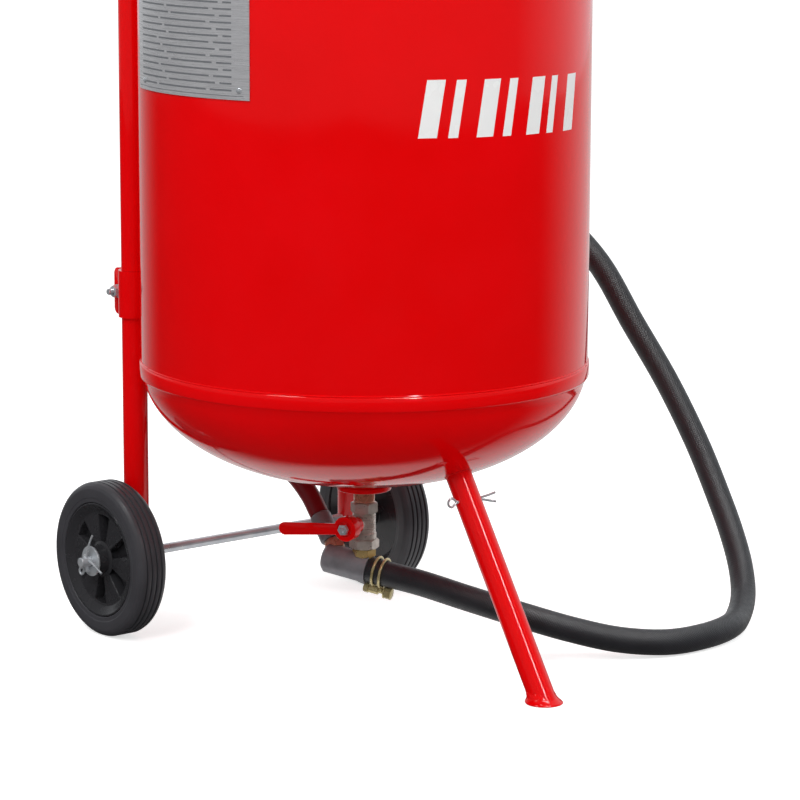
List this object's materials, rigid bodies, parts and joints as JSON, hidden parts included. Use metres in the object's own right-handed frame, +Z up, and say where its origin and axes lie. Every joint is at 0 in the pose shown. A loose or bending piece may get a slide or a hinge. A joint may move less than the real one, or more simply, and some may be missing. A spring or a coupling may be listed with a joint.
{
  "type": "pressure blaster pot",
  "caption": "Wheeled red pressure pot for abrasive blasting, with a dished tank, front leg, push handle, media valve under the tank and a black blast hose.",
  "frame": {"origin": "on the floor under the axis of the tank", "axes": "+Z up along the tank's axis, -Y to the front where the leg stands, +Y to the handle and wheels, +X to the object's right seen from behind the handle"},
  "size_m": [0.5914, 0.5315, 0.985],
  "materials": {
    "red_paint": "glossy red paint",
    "black_rubber": "matte black rubber with a fine cloth texture",
    "tyre_rubber": "satin black solid rubber",
    "black_plastic": "satin black moulded plastic",
    "brass": "machined yellow brass",
    "nickel": "satin nickel plate with turning marks",
    "zinc": "bright zinc plate",
    "bare_steel": "matte grey steel",
    "plate": "satin silver plate",
    "red_rubber": "satin dark red rubber",
    "clear_plastic": "clear moulded bowl",
    "ceramic": "off-white fired ceramic"
  },
  "bodies": {
    "frame": {"air_hose": "red_rubber", "air_hose_ferrule": "zinc", "air_inlet_nut": "brass", "axle": "zinc", "blast_hose": "black_rubber", "bottom_head": "red_paint", "ceramic_nozzle": "ceramic", "chamber_nipple": "brass", "data_plate": "plate", "filler_neck": "red_paint", "filler_seal": "black_rubber", "front_leg": "red_paint", "handle_bow": "red_paint", "handle_grip": "black_rubber", "hose_clamp": "brass", "hose_hook": "zinc", "inlet_manifold": "brass", "inlet_valve_body": "nickel", "left_clamp_base": "red_paint", "left_clamp_bolt": "zinc", "left_clamp_strap": "red_paint", "left_split_pin": "zinc", "left_upright": "red_paint", "left_washer": "zinc", "leg_pin": "zinc", "leg_stub": "red_paint", "media_valve_body": "nickel", "mixing_chamber": "bare_steel", "nozzle_holder": "black_plastic", "nozzle_valve_body": "nickel", "outlet_boss": "red_paint", "outlet_nipple": "brass", "pressure_gauge": "black_plastic", "right_clamp_base": "red_paint", "right_clamp_bolt": "zinc", "right_clamp_strap": "red_paint", "right_split_pin": "zinc", "right_upright": "red_paint", "right_washer": "zinc", "safety_valve": "brass", "separator_bowl": "clear_plastic", "separator_head": "zinc", "tank_shell": "red_paint", "top_head": "red_paint", "union_nut": "nickel"},
    "left_wheel": {"left_tyre": "tyre_rubber", "left_wheel_hub": "black_plastic"},
    "right_wheel": {"right_tyre": "tyre_rubber", "right_wheel_hub": "black_plastic"},
    "media_lever": {"media_valve_lever": "red_paint", "media_valve_stem": "zinc", "media_valve_ball": "nickel", "media_lever_nut": "zinc"},
    "inlet_lever": {"inlet_valve_lever": "red_paint"},
    "cap": {"filler_cap": "zinc"},
    "nozzle_lever": {"nozzle_valve_lever": "red_paint"},
    "pull_ring": {"safety_pull_ring": "zinc"},
    "needle": {"gauge_needle": "black_plastic"}
  },
  "joints": [
    {"name": "left_wheel_spin", "type": "hinge", "parent": "frame", "child": "left_wheel", "pos_m": [-0.15525, 0.1794, 0.0715], "axis": [1, 0, 0], "continuous": true},
    {"name": "right_wheel_spin", "type": "hinge", "parent": "frame", "child": "right_wheel", "pos_m": [0.15525, 0.1794, 0.0715], "axis": [1, 0, 0], "continuous": true},
    {"name": "media_lever_turn", "type": "hinge", "parent": "frame", "child": "media_lever", "pos_m": [0, 0, 0.1145], "axis": [-0.9397, -0.342, 0], "range_deg": [0, 90]},
    {"name": "inlet_lever_turn", "type": "hinge", "parent": "frame", "child": "inlet_lever", "pos_m": [-0.149, 0.115, 0.8176], "axis": [0, 0, -1], "range_deg": [0, 90]},
    {"name": "nozzle_lever_turn", "type": "hinge", "parent": "frame", "child": "nozzle_lever", "pos_m": [-0.009, 0.267, 0.402], "axis": [0, 1, 0], "range_deg": [0, 90]},
    {"name": "cap_lift", "type": "slide", "parent": "frame", "child": "cap", "axis": [0, 0, 1], "range_m": [0, 0.05]},
    {"name": "ring_pull", "type": "slide", "parent": "frame", "child": "pull_ring", "axis": [1, 0, 0], "range_m": [0, 0.003], "stiffness_N_per_m": 800},
    {"name": "needle_turn", "type": "hinge", "parent": "frame", "child": "needle", "pos_m": [-0.065, 0.111, 0.848], "axis": [0, 1, 0], "range_deg": [0, 270], "stiffness_Nm_per_rad": 0.0002}
  ]
}
